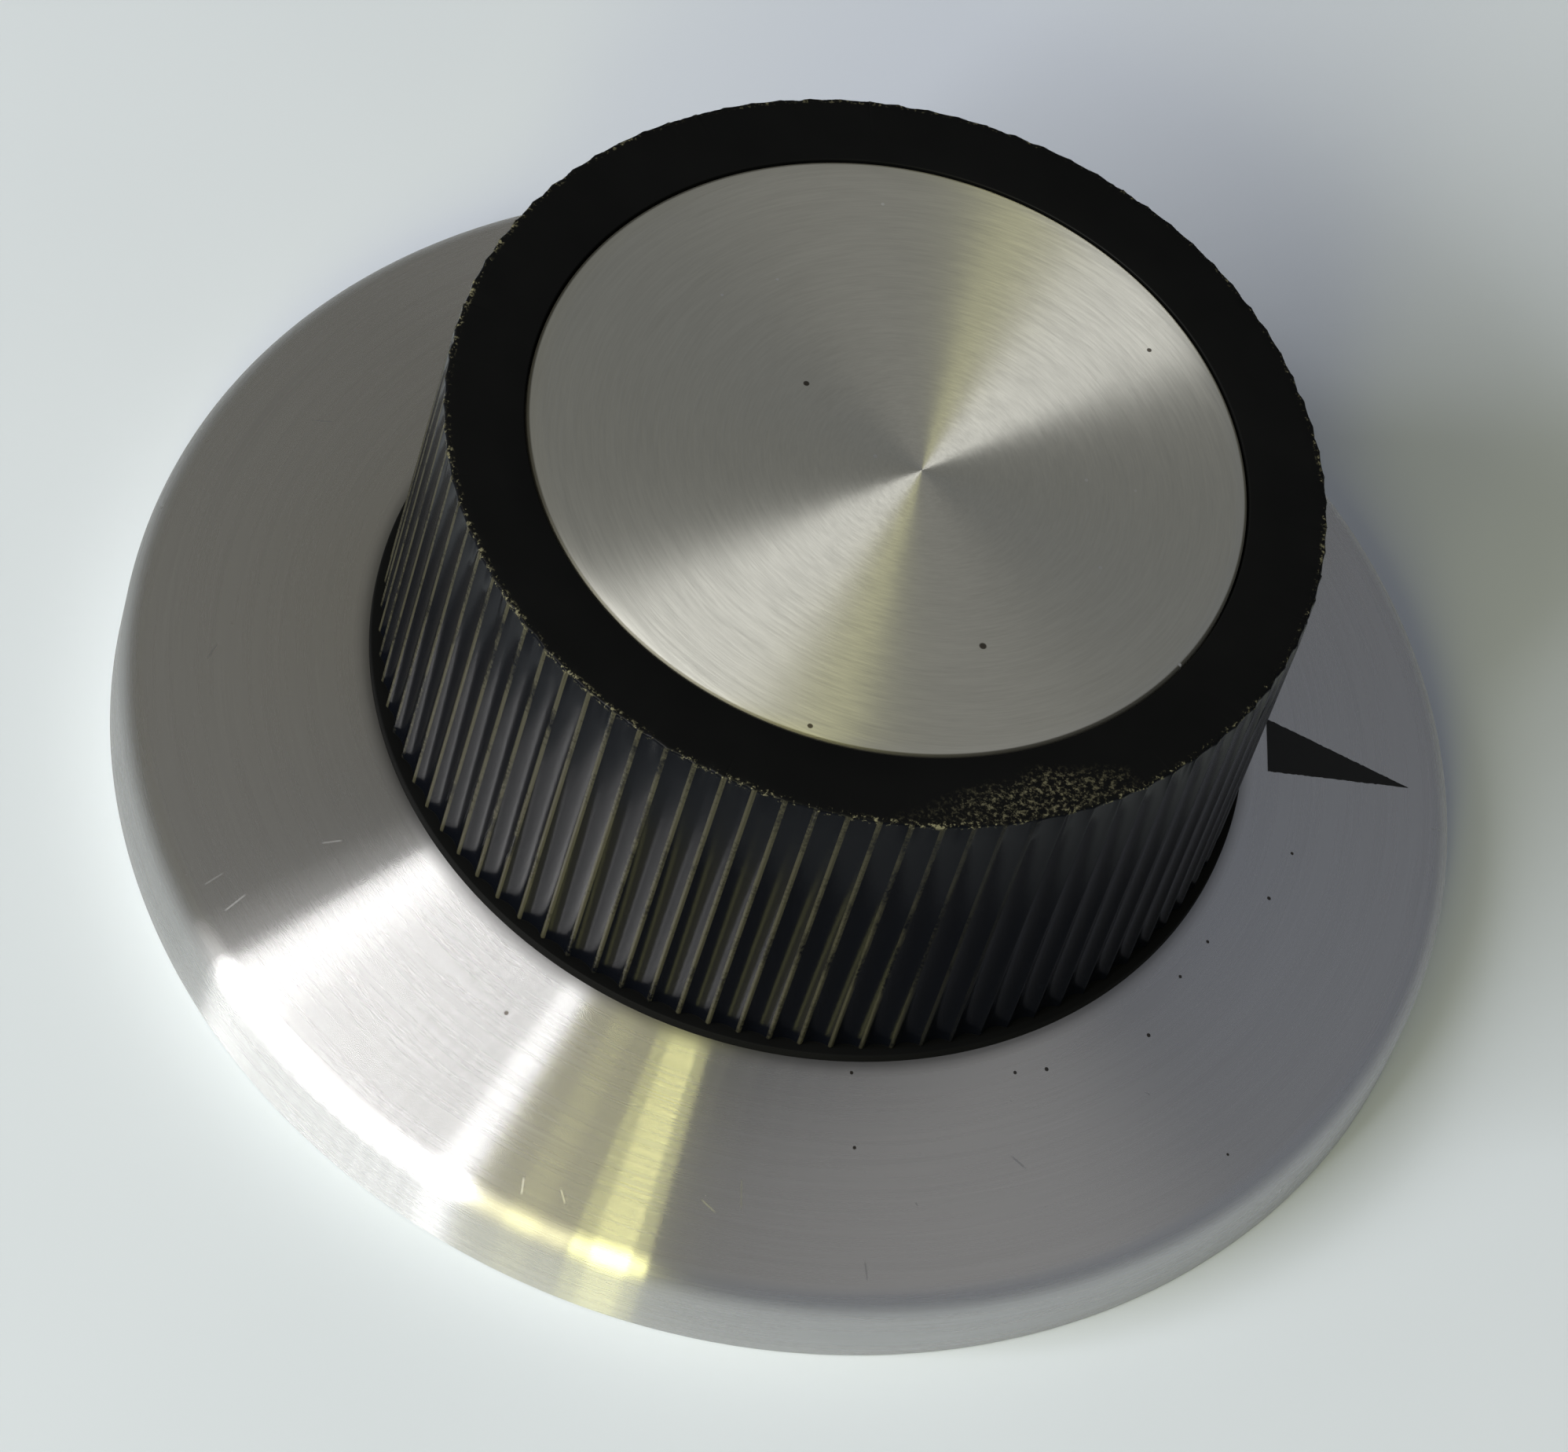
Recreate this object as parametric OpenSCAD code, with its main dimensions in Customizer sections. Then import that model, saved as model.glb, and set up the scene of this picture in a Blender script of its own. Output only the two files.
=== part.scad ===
// Instrument control knob: a moulded fluted grip with a spun aluminium top disc,
// on a dished aluminium skirt with a printed pointer, for a round shaft with two set screws.
// +Z is the shaft axis; z = 0 is the plane of the skirt's rim.

/* [Skirt] */
// Outside diameter of the skirt
skirt_d = 38.1; // [34:0.1:46]
// Sheet thickness of the skirt
skirt_t = 0.8; // [0.5:0.05:1]
// Inside radius of the bend at the rim
bend_r = 0.1; // [0.05:0.05:0.5]
// Fall of the skirt's cone, in degrees below level
skirt_fall = 15.5; // [8:0.5:17]
// Height of the level seat that the grip stands on
seat_z = 4.32; // [4.2:0.02:6]

/* [Pointer] */
// Direction of the pointer, in degrees from +X
pointer_az = 15; // [0:1:359]
// Distance from the collar to the pointer's base
pointer_gap = 0.8; // [0.3:0.05:2]
// Distance from the pointer's tip to the edge of the skirt
pointer_margin = 1.4; // [1:0.05:3]
// Width of the pointer at its base
pointer_w = 1.8; // [0.8:0.05:3]
// Thickness of the printed ink
ink_t = 0.03; // [0.02:0.01:0.1]

/* [Grip] */
// Height of the knob above the rim plane
knob_h = 15.3; // [14:0.1:20]
// Diameter over the flute crests at the collar
grip_d = 24.36; // [20:0.02:30]
// How much smaller the grip's diameter is at the top
grip_draft = 0.2; // [0.05:0.05:1]
// How far the smooth collar stands out past the crests
collar_step = 0.22; // [0.1:0.02:0.6]
// Height of the collar above the skirt
collar_h = 0.28; // [0.15:0.01:1]
// Width of the level part of the skirt outside the collar
seat_margin = 0.02; // [0.01:0.01:0.5]
// Bevel at the grip's top edge
top_bevel = 0.08; // [0.02:0.01:0.3]

/* [Flutes] */
// Number of flutes round the grip
flute_n = 90; // [40:1:100]
// Radius of the cutter that the flutes follow
flute_r = 0.36; // [0.25:0.01:0.4]
// Depth of a flute at the collar
flute_base_depth = 0.32; // [0.1:0.01:0.35]
// Depth of a flute at the top
flute_top_depth = 0.08; // [0.03:0.01:0.3]

/* [Top disc] */
// Width of the grip's ring round the disc
ring_w = 2.185; // [1:0.005:4]
// Thickness of the top disc
disc_t = 0.77; // [0.4:0.01:1.2]
// How far the disc lies below the grip's top face
disc_drop = 0.03; // [0:0.01:0.4]
// Clearance round the disc in its recess
disc_gap = 0.06; // [0.02:0.01:0.2]
// Bevel at the disc's upper edge
disc_bevel = 0.06; // [0.02:0.01:0.2]

/* [Shaft bushing] */
// Bore for a quarter-inch shaft
bore_d = 6.4; // [5:0.05:8]
// Outside diameter of the bushing
bush_d = 12.7; // [10.5:0.1:15.5]
// Height of the bushing's mouth above the rim plane
bush_z = 0.8; // [0.2:0.1:1.5]
// Depth of the keying groove and shoulder round the bushing
groove_depth = 0.5; // [0.2:0.05:0.7]
// Width of the keying groove and shoulder
groove_w = 1.8; // [1.6:0.1:2]
// Height of the keying groove above the bushing's mouth
groove_z = 1.8; // [0.5:0.1:2.2]
// Chamfer at the mouth of the bore
bore_chamfer = 0.4; // [0.2:0.05:0.8]

/* [Boss and coring] */
// Thickness of the moulded boss round the bushing
boss_t = 1.25; // [1:0.05:1.8]
// Thickness of the grip's outer wall at its thinnest
wall_t = 1.9; // [1.2:0.1:2.4]
// Thickness of the roof over the bushing and the cored space
roof_t = 2.4; // [1:0.1:3]
// Number of thin ribs between boss and wall
rib_n = 4; // [3:1:5]
// Thickness of a thin rib
rib_t = 1; // [0.8:0.1:1.6]
// Width of the key that stops the skirt turning
key_w = 2; // [1.5:0.1:3]
// Depth of the key
key_depth = 0.6; // [0.4:0.05:0.8]
// Clearance between boss and skirt
boss_gap = 0.05; // [0.02:0.01:0.2]

/* [Set screws] */
// Major diameter of the set screws
screw_d = 3.5; // [3:0.1:4.2]
// Length of a set screw
screw_len = 4.8; // [3:0.1:5.5]
// How far the points stand back from the bore
screw_back = 0.3; // [0.1:0.05:0.8]
// Radial clearance of a screw in its thread
thread_gap = 0.04; // [0.02:0.01:0.1]
// Width across flats of the screw's socket
socket_af = 1.6; // [1.2:0.1:2]
// Depth of the socket
socket_depth = 1.8; // [1:0.1:2.5]
// Chamfer at a screw's cup point
point_chamfer = 0.4; // [0.2:0.05:0.6]
// Chamfer at a screw's socket end
end_chamfer = 0.2; // [0.1:0.05:0.4]
// Access hole through the grip
access_d = 4; // [3.6:0.1:5]
// Width of the moulded block round the access hole
block_w = 6; // [5.5:0.1:8]

/* [Retainer] */
// Width of the push-on retainer's ring
retainer_w = 1.85; // [1.5:0.05:3]
// Thickness of the retainer
retainer_t = 0.4; // [0.25:0.05:0.6]
// Number of slits that part its teeth
slit_n = 8; // [4:1:12]
// Width of a slit
slit_w = 0.8; // [0.5:0.1:1.2]
// Length of a slit
slit_len = 1.05; // [0.6:0.05:1.3]

/* [Hidden] */
$fn = 96;
eps = 0.01;
over = 1;

skirt_r = skirt_d / 2;
edge_r = bend_r + skirt_t;
grip_r = grip_d / 2;
grip_top_r = grip_r - grip_draft / 2;
collar_r = grip_r + collar_step;
collar_z = seat_z + collar_h;
seat_r = collar_r + seat_margin;
pointer_base_r = seat_r + pointer_gap;
pointer_tip_r = skirt_r - pointer_margin;
recess_r = grip_top_r - ring_w;
recess_z = knob_h - disc_drop - disc_t;
disc_r = recess_r - disc_gap;
bush_r = bush_d / 2;
bush_top_z = recess_z - roof_t;
boss_r = bush_r + boss_t;
core_r = grip_r - flute_base_depth - wall_t;
screw_z = (collar_z + bush_top_z) / 2;
screw_tip_r = bore_d / 2 + screw_back;
screw_azimuths = [pointer_az, pointer_az + 90];

// Height of the skirt's upper surface at radius r on the cone
function cone_z(r) = seat_z - tan(skirt_fall) * (r - seat_r);

// Centre height of the rim's rounding, so that it runs smoothly into the cone
edge_z = cone_z(skirt_r - edge_r) - edge_r / cos(skirt_fall);

// Half section under a skirt surface that lies drop below the outer one, down to z = foot
module skirt_section(drop, foot) {
    round_r = edge_r - drop;
    round_x = skirt_r - edge_r;
    union() {
        polygon([
            [0, foot],
            [round_x + round_r, foot],
            [round_x + round_r, edge_z],
            [round_x + round_r * sin(skirt_fall), edge_z + round_r * cos(skirt_fall)],
            [seat_r - drop * tan(skirt_fall / 2), seat_z - drop],
            [0, seat_z - drop]
        ]);
        translate([round_x, edge_z]) circle(r = round_r);
    }
}

// Tongue on the skirt, or the slot for it in the boss when grow is a clearance
module key(grow, z_low, z_high) {
    rotate(pointer_az + 180)
        translate([boss_r - key_depth - grow, -key_w / 2 - grow, z_low])
            cube([key_depth + grow + over, key_w + 2 * grow, z_high - z_low]);
}

module skirt() {
    color("silver") union() {
        rotate_extrude() difference() {
            skirt_section(0, 0);
            skirt_section(skirt_t, -over);
            square([boss_r + boss_gap, 2 * seat_z]);
        }
        key(0, seat_z - skirt_t, seat_z);
    }
}

// The ink lies on the cone as a film of even thickness
module pointer_mark() {
    in_r = pointer_base_r - pointer_gap / 2;
    out_r = pointer_tip_r + pointer_margin / 2;
    lift = ink_t / cos(skirt_fall);
    color("black") rotate(pointer_az) intersection() {
        rotate_extrude() polygon([
            [in_r, cone_z(in_r)],
            [out_r, cone_z(out_r)],
            [out_r, cone_z(out_r) + lift],
            [in_r, cone_z(in_r) + lift]
        ]);
        linear_extrude(height = knob_h) polygon([
            [pointer_base_r, -pointer_w / 2],
            [pointer_tip_r, 0],
            [pointer_base_r, pointer_w / 2]
        ]);
    }
}

// One flute: a round cutter whose axis leans inwards, so that the flute is deepest at the collar
module flute() {
    base_root = grip_r - flute_base_depth;
    top_root = grip_top_r - flute_top_depth;
    lean = atan((top_root - base_root) / (knob_h - collar_z));
    below = collar_h / 2;
    translate([base_root + flute_r, 0, collar_z])
        rotate([0, lean, 0])
            translate([0, 0, -below])
                cylinder(r = flute_r, h = knob_h - collar_z + below + over, $fn = 32);
}

// A crest points along +X, and the blank's seam falls inside a flute
module fluted_wall() {
    rotate(180 / flute_n) difference() {
        rotate_extrude() polygon([
            [0, seat_z],
            [grip_r, seat_z],
            [grip_r, collar_z],
            [grip_top_r, knob_h - top_bevel],
            [grip_top_r - top_bevel, knob_h],
            [0, knob_h]
        ]);
        for (i = [0 : flute_n - 1]) rotate(i * 360 / flute_n) flute();
    }
}

// Cored ring between wall and boss, crossed by thin ribs and by a block at each set screw
module coring() {
    difference() {
        translate([0, 0, seat_z - eps]) difference() {
            cylinder(r = core_r, h = bush_top_z - seat_z + eps);
            translate([0, 0, -eps]) cylinder(r = boss_r, h = bush_top_z);
        }
        for (i = [0 : rib_n - 1])
            rotate(pointer_az + 45 + i * 360 / rib_n)
                translate([0, -rib_t / 2, seat_z + boss_gap]) cube([core_r + eps, rib_t, bush_top_z]);
        for (a = screw_azimuths)
            rotate(a)
                translate([0, -block_w / 2, seat_z + boss_gap]) cube([core_r + eps, block_w, bush_top_z]);
    }
}

// Outline of the bushing, with grooves that the moulding grips
module bushing_form() {
    low_z = bush_z + groove_z;
    high_z = bush_top_z - groove_w;
    root_r = bush_r - groove_depth;
    rotate_extrude() polygon([
        [0, bush_z],
        [bush_r, bush_z],
        [bush_r, low_z],
        [root_r, low_z + groove_depth],
        [root_r, low_z + groove_w - groove_depth],
        [bush_r, low_z + groove_w],
        [bush_r, high_z],
        [root_r, high_z + groove_depth],
        [root_r, bush_top_z],
        [0, bush_top_z]
    ]);
}

// Round cutter along a set screw's line, from one radius to another
module screw_line(d, from_r, to_r) {
    translate([from_r, 0, screw_z]) rotate([0, 90, 0]) cylinder(d = d, h = to_r - from_r);
}

module grip_body() {
    color([0.08, 0.08, 0.085]) difference() {
        union() {
            fluted_wall();
            translate([0, 0, seat_z]) cylinder(r = collar_r, h = collar_h);
            translate([0, 0, bush_z]) cylinder(r = boss_r, h = collar_z - bush_z);
        }
        coring();
        bushing_form();
        translate([0, 0, recess_z]) cylinder(r = recess_r, h = knob_h);
        for (a = screw_azimuths) rotate(a) screw_line(access_d, bush_r - over, grip_d);
        key(boss_gap, bush_z - over, seat_z);
    }
}

module shaft_bushing() {
    color([0.78, 0.62, 0.32]) difference() {
        bushing_form();
        cylinder(d = bore_d, h = knob_h);
        translate([0, 0, bush_z - eps])
            cylinder(d1 = bore_d + 2 * bore_chamfer, d2 = bore_d, h = bore_chamfer);
        for (a = screw_azimuths) rotate(a) screw_line(screw_d + 2 * thread_gap, 0, bush_d);
    }
}

// Cup-point set screw lying along +X, its point at the stated radius
module set_screw() {
    cup_r = screw_d / 4;
    body_r = screw_d / 2;
    color([0.35, 0.35, 0.37]) translate([screw_tip_r, 0, screw_z]) rotate([0, 90, 0]) difference() {
        rotate_extrude() polygon([
            [0, cup_r],
            [cup_r, 0],
            [body_r - point_chamfer, 0],
            [body_r, point_chamfer],
            [body_r, screw_len - end_chamfer],
            [body_r - end_chamfer, screw_len],
            [0, screw_len]
        ]);
        translate([0, 0, screw_len - socket_depth])
            cylinder(d = socket_af / cos(30), h = socket_depth + over, $fn = 6);
    }
}

module set_screw_front() { rotate(screw_azimuths[0]) set_screw(); }

module set_screw_side() { rotate(screw_azimuths[1]) set_screw(); }

// Push-on ring under the skirt's seat; its teeth grip the boss
module skirt_retainer() {
    tooth_r = boss_r + boss_gap;
    color([0.6, 0.61, 0.63]) translate([0, 0, seat_z - skirt_t - retainer_t])
        linear_extrude(height = retainer_t) difference() {
            circle(r = tooth_r + retainer_w);
            circle(r = tooth_r);
            for (i = [0 : slit_n - 1])
                rotate(i * 360 / slit_n)
                    translate([tooth_r - over, -slit_w / 2]) square([slit_len + over, slit_w]);
        }
}

module top_disc() {
    color([0.75, 0.75, 0.74]) translate([0, 0, recess_z]) rotate_extrude() polygon([
        [0, 0],
        [disc_r, 0],
        [disc_r, disc_t - disc_bevel],
        [disc_r - disc_bevel, disc_t],
        [0, disc_t]
    ]);
}

grip_body();
top_disc();
shaft_bushing();
set_screw_front();
set_screw_side();
skirt();
skirt_retainer();
pointer_mark();
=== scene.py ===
"""Skirted control knob: the looks of every piece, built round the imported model.

Lengths are in metres. +Z is the shaft axis, and z = 0 is the plane of the skirt's rim.
"""

import math
import random

import bpy
import numpy as np
from mathutils import Matrix, Quaternion, Vector


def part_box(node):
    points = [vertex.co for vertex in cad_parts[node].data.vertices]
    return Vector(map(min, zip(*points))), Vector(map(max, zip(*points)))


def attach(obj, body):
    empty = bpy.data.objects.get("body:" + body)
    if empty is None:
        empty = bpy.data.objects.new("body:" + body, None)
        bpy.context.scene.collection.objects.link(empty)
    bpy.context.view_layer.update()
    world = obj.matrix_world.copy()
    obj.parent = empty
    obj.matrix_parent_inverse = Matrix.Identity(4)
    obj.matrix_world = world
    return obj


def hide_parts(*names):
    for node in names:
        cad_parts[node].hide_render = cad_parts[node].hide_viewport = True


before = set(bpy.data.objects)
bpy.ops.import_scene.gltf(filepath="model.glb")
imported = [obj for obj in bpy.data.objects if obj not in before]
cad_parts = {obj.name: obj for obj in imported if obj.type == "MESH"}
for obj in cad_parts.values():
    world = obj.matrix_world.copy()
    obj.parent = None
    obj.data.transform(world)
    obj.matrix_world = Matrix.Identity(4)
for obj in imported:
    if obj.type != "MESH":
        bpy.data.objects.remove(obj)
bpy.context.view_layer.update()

MM = 0.001

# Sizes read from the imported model
_, skirt_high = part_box("skirt")
_, grip_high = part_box("grip_body")
disc_low, disc_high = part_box("top_disc")
bushing_low, bushing_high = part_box("shaft_bushing")
SKIRT_R = skirt_high.x
SEAT_Z = skirt_high.z
COLLAR_R = grip_high.x
KNOB_H = grip_high.z
DISC_R = disc_high.x
DISC_TOP = disc_high.z
RECESS_Z = disc_low.z
BUSH_Z = bushing_low.z
BUSH_TOP = bushing_high.z

# Sizes of the skirt's section
SKIRT_T = 0.8 * MM
EDGE_R = 0.9 * MM
FALL = math.radians(15.5)
SEAT_R = COLLAR_R + 0.02 * MM
BOSS_R = 7.6 * MM
BOSS_GAP = 0.05 * MM

# Sizes of the grip
FLUTES = 90
CREST_BASE_R = COLLAR_R - 0.22 * MM
CREST_TOP_R = CREST_BASE_R - 0.1 * MM
COLLAR_Z = SEAT_Z + 0.28 * MM
FLUTE_SHARE = 0.98
FLUTE_BASE_DEPTH = 0.15 * MM
FLUTE_TOP_DEPTH = 0.045 * MM
RECESS_R = DISC_R + 0.06 * MM
BUSH_R = 6.35 * MM
CREST_ROUND = 0.03 * MM
CHIP_DEPTH = 0.04 * MM
ACCESS_R = 2.0 * MM
ACCESS_START = BUSH_R - 1 * MM

# Directions and places round the shaft axis
POINTER_AZ = math.radians(15)
BRUSH_CENTRE = Vector((0.98, -0.25)) * MM
# Side of the grip whose crests get a painted highlight, towards the soft box
CREST_GLINT_AZ = math.radians(-128)
DUST_AZ = math.radians(-57)
DUST_R = 11.4 * MM

# The soft box and the strips beside it: how high, how far and how tall they are
PANEL_ELEVATION = 31
PANEL_DISTANCE = 0.6
PANEL_HEIGHT = 0.24


# ---------------------------------------------------------------- camera

CAMERA_LENS = 172.94
CAMERA_SENSOR = 36.0
CAMERA_ELEVATION = math.radians(53.84)
CAMERA_DISTANCE = 11.214 * SKIRT_R
CAMERA_AIM = Vector((-0.263, -4.146, 7.65)) * MM
CAMERA_ROLL = math.radians(19.07)


def make_camera():
    """A long lens above the front edge, rolled so that the shaft axis leans to the right."""
    data = bpy.data.cameras.new("camera")
    data.lens = CAMERA_LENS
    data.sensor_width = CAMERA_SENSOR
    data.clip_start = 0.01
    data.clip_end = 20.0
    camera = bpy.data.objects.new("camera", data)
    bpy.context.scene.collection.objects.link(camera)
    eye = Vector((0, -math.cos(CAMERA_ELEVATION), math.sin(CAMERA_ELEVATION))) * CAMERA_DISTANCE
    roll = Quaternion((0, 0, 1), CAMERA_ROLL)
    camera.location = eye
    camera.rotation_mode = "QUATERNION"
    camera.rotation_quaternion = (CAMERA_AIM - eye).to_track_quat("-Z", "Y") @ roll
    bpy.context.scene.camera = camera


# ---------------------------------------------------------------- node trees


class Value:
    """An output socket whose operators add Math nodes to its tree."""

    def __init__(self, tree, socket):
        self.tree = tree
        self.socket = socket

    def math(self, operation, *others):
        return self.tree.math(operation, self, *others)

    def __add__(self, other):
        return self.math("ADD", other)

    def __radd__(self, other):
        return self.tree.math("ADD", other, self)

    def __sub__(self, other):
        return self.math("SUBTRACT", other)

    def __rsub__(self, other):
        return self.tree.math("SUBTRACT", other, self)

    def __mul__(self, other):
        return self.math("MULTIPLY", other)

    def __rmul__(self, other):
        return self.tree.math("MULTIPLY", other, self)

    def __truediv__(self, other):
        return self.math("DIVIDE", other)

    def __rtruediv__(self, other):
        return self.tree.math("DIVIDE", other, self)

    def __pow__(self, other):
        return self.math("POWER", other)

    def __lt__(self, other):
        return self.math("LESS_THAN", other)

    def __gt__(self, other):
        return self.math("GREATER_THAN", other)

    def __abs__(self):
        return self.math("ABSOLUTE")


class Tree:
    """A node tree written as expressions."""

    def __init__(self, node_tree):
        self.node_tree = node_tree

    def put(self, socket, value):
        if isinstance(value, Value):
            self.node_tree.links.new(value.socket, socket)
        else:
            socket.default_value = value

    def node(self, kind, settings=None, inputs=None):
        """Any node: its settings are set first, then its sockets, named by key or identifier."""
        node = self.node_tree.nodes.new(kind)
        for name, value in (settings or {}).items():
            setattr(node, name, value)
        for name, value in (inputs or {}).items():
            if isinstance(name, int):
                socket = node.inputs[name]
            else:
                socket = next(s for s in node.inputs if name in (s.identifier, s.name))
            self.put(socket, value)
        return node

    def out(self, kind, settings=None, inputs=None, output=0):
        """The output of a new node as a Value."""
        node = self.node(kind, settings, inputs)
        if isinstance(output, int):
            return Value(self, node.outputs[output])
        return Value(self, next(s for s in node.outputs if output in (s.identifier, s.name)))

    def math(self, operation, *values):
        return self.out("ShaderNodeMath", {"operation": operation}, dict(enumerate(values)))

    def vector(self, x, y, z):
        return self.out("ShaderNodeCombineXYZ", None, {"X": x, "Y": y, "Z": z})

    def parts(self, vector):
        node = self.node("ShaderNodeSeparateXYZ", None, {"Vector": vector})
        return [Value(self, s) for s in node.outputs]

    def span(self, value, low, high):
        """0 below low and 1 above high, with a smooth step between; low may be the greater."""
        return self.out(
            "ShaderNodeMapRange",
            {"interpolation_type": "SMOOTHSTEP"},
            {"Value": value, "From Min": low, "From Max": high},
        )

    def mix(self, factor, a, b):
        """A blend of two colours."""
        return self.out(
            "ShaderNodeMix",
            {"data_type": "RGBA"},
            {"Factor_Float": factor, "A_Color": a, "B_Color": b},
            "Result_Color",
        )

    def noise(self, vector, scale, detail=2.0, roughness=0.5):
        return self.out(
            "ShaderNodeTexNoise",
            None,
            {"Vector": vector, "Scale": scale, "Detail": detail, "Roughness": roughness},
        )

    def either(self, *masks):
        """The strongest of several masks."""
        most = masks[0]
        for mask in masks[1:]:
            most = most.math("MAXIMUM", mask)
        return most


def grey(level, warm=0.0):
    """A neutral colour; warm shifts it towards yellow, or towards blue when negative."""
    return (level * (1 + warm), level, level * (1 - warm), 1.0)


# ---------------------------------------------------------------- materials


class Finish(Tree):
    """A material with one Principled shader and the coordinates that its patterns read."""

    def __init__(self, name, **constants):
        self.material = bpy.data.materials.new(name)
        self.material.use_nodes = True
        super().__init__(self.material.node_tree)
        self.shader = self.node_tree.nodes["Principled BSDF"]
        for socket, value in constants.items():
            self.shader.inputs[socket.replace("_", " ")].default_value = value
        self.place = self.out("ShaderNodeTexCoord", output="Object")
        self.mm = self.out(
            "ShaderNodeVectorMath", {"operation": "SCALE"}, {"Vector": self.place, "Scale": 1 / MM}
        )
        self.x, self.y, self.z = self.parts(self.mm)

    def polar(self, centre=(0.0, 0.0)):
        """Distance in millimetres and direction from an upright axis."""
        dx, dy = self.x - centre[0] / MM, self.y - centre[1] / MM
        r = (dx * dx + dy * dy).math("SQRT")
        safe = r.math("MAXIMUM", 0.001)
        return r, dx / safe, dy / safe

    def set(self, **links):
        for socket, value in links.items():
            self.put(self.shader.inputs[socket.replace("_", " ")], value)

    def bump(self, height, strength, distance=0.02 * MM):
        normal = self.out(
            "ShaderNodeBump", None, {"Height": height, "Strength": strength, "Distance": distance}
        )
        self.put(self.shader.inputs["Normal"], normal)

    def along_uv(self, name):
        """Turns the brushed highlight with the piece's own map."""
        tangent = self.out("ShaderNodeTangent", {"direction_type": "UV_MAP", "uv_map": name})
        self.put(self.shader.inputs["Tangent"], tangent)
        return tangent

    def brushed(self, tangent, share, colour, roughness):
        """Lays a sharply drawn brushed shine over the Principled shader, as strong as share."""
        lines = self.out(
            "ShaderNodeBsdfAnisotropic",
            {"distribution": "GGX"},
            {"Color": colour, "Roughness": roughness, "Anisotropy": -0.9, "Tangent": tangent},
        )
        plain = Value(self, self.shader.outputs[0])
        both = self.out("ShaderNodeMixShader", None, {"Fac": share, 1: plain, 2: lines})
        self.put(self.node_tree.nodes["Material Output"].inputs["Surface"], both)

    def spots(self, points, softness=0.35):
        """A mask of small round spots, each given as x, y and radius in millimetres."""
        masks = []
        for x, y, radius in points:
            dx, dy = self.x - x, self.y - y
            distance = (dx * dx + dy * dy).math("SQRT")
            masks.append(self.span(distance, radius, radius * (1 - softness)))
        return self.either(*masks)

    def hairs(self, strokes):
        """A mask of short fine scratches: azimuth and radius of the middle, length and slant.

        Slant is in degrees from the radial direction; sizes are in millimetres.
        """
        masks = []
        for azimuth, radius, length, slant in strokes:
            x, y, _ = on_ring(azimuth, radius, 0)
            a = math.radians(azimuth + slant)
            dx, dy = self.x - x, self.y - y
            along = abs(dx * math.cos(a) + dy * math.sin(a))
            off = abs(dy * math.cos(a) - dx * math.sin(a))
            distance = off.math("MAXIMUM", (along - length / 2) * 0.2)
            masks.append(self.span(distance, 0.04, 0.01))
        return self.either(*masks)


def on_ring(azimuth, radius, size):
    """A spot's x, y and size from its azimuth in degrees and its radius in millimetres."""
    a = math.radians(azimuth)
    return radius * math.cos(a), radius * math.sin(a), size


def spun_skirt_finish():
    """Circular brushed aluminium with a sharp shine over a softer one, a little dirt and wear, and
    painted shade next to the collar.
    """
    f = Finish("spun_skirt_metal", Metallic=1.0, Anisotropic=1.0, IOR=1.5)
    r, c, s = f.polar()
    track = r - f.z
    fine = f.noise(f.vector(track * 4.0, c * 4.0, s * 4.0), 1.0, 4.0, 0.75)
    lines = f.noise(f.vector(track * 5.5, c * 1.5, s * 1.5), 1.0, 3.0, 0.7)
    broad = f.noise(f.vector(track * 1.7, c * 3.0, s * 3.0), 1.0, 2.0, 0.5)
    cloud = f.noise(f.mm, 0.16, 2.0, 0.5)
    shade = 0.92 + (lines - 0.5) * 0.5 + (fine - 0.5) * 0.2
    shade = shade + (broad - 0.5) * 0.12 + (cloud - 0.5) * 0.1
    base = f.mix(shade, grey(0.0), grey(0.62, 0.012))
    # Painted shade on the skirt next to the collar: the base darkens and the brushed shine fades
    # there
    painted_collar_shade = f.span(r, COLLAR_R / MM + 0.45, COLLAR_R / MM)
    base = f.mix(painted_collar_shade * 0.6, base, grey(0.1))
    dirt = f.spots(
        [
            on_ring(-109.6, 14.25, 0.07),
            on_ring(-48.8, 13.28, 0.06),
            on_ring(-44.9, 13.47, 0.07),
            on_ring(-69.1, 12.7, 0.06),
            on_ring(-69.1, 14.72, 0.06),
            on_ring(-31.2, 13.96, 0.07),
            on_ring(-22.7, 13.33, 0.06),
            on_ring(-16.3, 13.28, 0.06),
            on_ring(-5.9, 14.13, 0.07),
            on_ring(-32.0, 17.72, 0.05),
            on_ring(1.3, 14.33, 0.06),
        ]
    )
    scratches = f.hairs(
        [
            (-80.2, 16.3, 0.5, 8),
            (-83.0, 16.8, 0.2, 60),
            (-68.5, 18.0, 0.2, 5),
            (-137.5, 14.7, 0.25, -20),
            (-139.0, 17.9, 0.3, 10),
            (-136.0, 17.7, 0.4, 14),
            (-99.0, 18.0, 0.15, 20),
            (-95.5, 17.8, 0.12, 40),
            (-52.0, 15.6, 0.2, 35),
            (-163.0, 16.6, 0.2, 60),
            (166.0, 15.9, 0.3, 20),
        ]
    )
    nicks = f.noise(f.vector(f.x * 2.3, f.y * 2.3, f.z), 1.0, 3.0, 0.7)
    nicks = f.either(f.span(nicks, 0.73, 0.76), scratches)
    base = f.mix(dirt * 0.85, base, (0.05, 0.035, 0.02, 1.0))
    base = f.mix(nicks * 0.5, base, grey(0.8))
    rough = 0.34 + (fine - 0.5) * 0.08 + (cloud - 0.5) * 0.04 + dirt * 0.3 + nicks * 0.2
    f.set(Base_Color=base, Roughness=rough)
    f.bump(lines, 1.0, 0.002 * MM)
    share = 0.75 + (lines - 0.5) * 0.4 + (broad - 0.5) * 0.15
    share = share * (1 - dirt) * (1 - nicks * 0.7) * (1 - painted_collar_shade * 0.8)
    f.brushed(f.along_uv("spin"), share, grey(0.62, 0.012), 0.19)
    return f.material


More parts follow.
